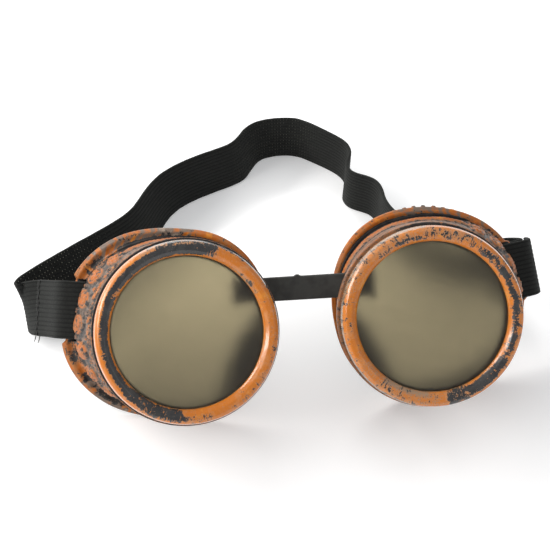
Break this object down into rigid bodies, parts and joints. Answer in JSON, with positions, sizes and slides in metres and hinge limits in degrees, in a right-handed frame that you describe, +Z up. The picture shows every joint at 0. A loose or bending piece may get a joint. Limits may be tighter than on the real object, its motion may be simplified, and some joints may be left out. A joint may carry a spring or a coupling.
{
  "type": "welding goggles",
  "caption": "Round two-cup welding goggles with screw-off lens bezels, a flexible nose bridge and an elastic headband, lying on a table.",
  "frame": {"origin": "middle of the footprint of the model's box, on the table", "axes": "+X towards the wearer's left cup, that is to the viewer's right, +Y from the lenses towards the back of the headband, +Z up"},
  "size_m": [0.1918, 0.1572, 0.0674],
  "materials": {
    "cup_paint": "distressed copper paint rubbed over black moulded plastic",
    "bezel_paint": "satin copper paint with black patches and worn highlights",
    "dark_lens": "smooth brown-green tint",
    "clear_lens": "smooth clear",
    "lens_spacer": "fibre ring",
    "gasket_rubber": "matte",
    "elastic": "ribbed woven elastic",
    "thread": "sewing thread",
    "bridge_vinyl": "matte flexible vinyl"
  },
  "bodies": {
    "bridge_and_band": {"bridge_strip": "bridge_vinyl", "headband_left": "elastic", "headband_right": "elastic"},
    "left_tail": {"bridge_tail_left": "bridge_vinyl"},
    "left_cup": {"eye_cup_left": "cup_paint", "headband_loop_left": "elastic", "loop_stitching_left": "thread"},
    "left_lens_pack": {"dark_lens_left": "dark_lens", "lens_spacer_left": "lens_spacer", "clear_lens_left": "clear_lens", "lens_gasket_left": "gasket_rubber"},
    "left_bezel": {"bezel_ring_left": "bezel_paint"},
    "right_tail": {"bridge_tail_right": "bridge_vinyl"},
    "right_cup": {"eye_cup_right": "cup_paint", "headband_loop_right": "elastic", "loop_stitching_right": "thread"},
    "right_lens_pack": {"dark_lens_right": "dark_lens", "lens_spacer_right": "lens_spacer", "clear_lens_right": "clear_lens", "lens_gasket_right": "gasket_rubber"},
    "right_bezel": {"bezel_ring_right": "bezel_paint"}
  },
  "joints": [
    {"name": "left_bridge_flex", "type": "hinge", "parent": "bridge_and_band", "child": "left_tail", "pos_m": [-0.00228, -0.03575, 0.04036], "axis": [-0.0012, 0.7285, 0.685], "range_deg": [-18, 18], "stiffness_Nm_per_rad": 0.05, "deforming": ["headband_left"]},
    {"name": "left_bridge_adjust", "type": "slide", "parent": "left_tail", "child": "left_cup", "axis": [-0.9974, 0.0487, -0.0535], "range_m": [-0.0025, 0.003], "deforming": ["headband_loop_left"]},
    {"name": "left_bezel_travel", "type": "slide", "parent": "left_cup", "child": "left_lens_pack", "axis": [0.0974, -0.6594, 0.7455], "range_m": [0, 0.00385]},
    {"name": "left_bezel_turn", "type": "hinge", "parent": "left_lens_pack", "child": "left_bezel", "pos_m": [-0.03053, -0.0569, 0.0468], "axis": [0.0974, -0.6594, 0.7455], "range_deg": [0, 630]},
    {"name": "right_bridge_flex", "type": "hinge", "parent": "bridge_and_band", "child": "right_tail", "pos_m": [0.01746, -0.03671, 0.04141], "axis": [0.0012, -0.7285, -0.685], "range_deg": [-18, 18], "stiffness_Nm_per_rad": 0.05, "deforming": ["headband_right"]},
    {"name": "right_bridge_adjust", "type": "slide", "parent": "right_tail", "child": "right_cup", "axis": [0.9974, -0.0487, 0.0535], "range_m": [-0.0025, 0.003], "deforming": ["headband_loop_right"]},
    {"name": "right_bezel_travel", "type": "slide", "parent": "right_cup", "child": "right_lens_pack", "axis": [-0.0704, -0.7183, 0.6921], "range_m": [0, 0.00385]},
    {"name": "right_bezel_turn", "type": "hinge", "parent": "right_lens_pack", "child": "right_bezel", "pos_m": [0.04667, -0.0569, 0.04655], "axis": [-0.0704, -0.7183, 0.6921], "range_deg": [0, 630]}
  ],
  "couplings": [
    {"joint": "left_bezel_travel", "follows": "left_bezel_turn", "m_per_rad": 0.00035014},
    {"joint": "right_bezel_travel", "follows": "right_bezel_turn", "m_per_rad": 0.00035014}
  ]
}
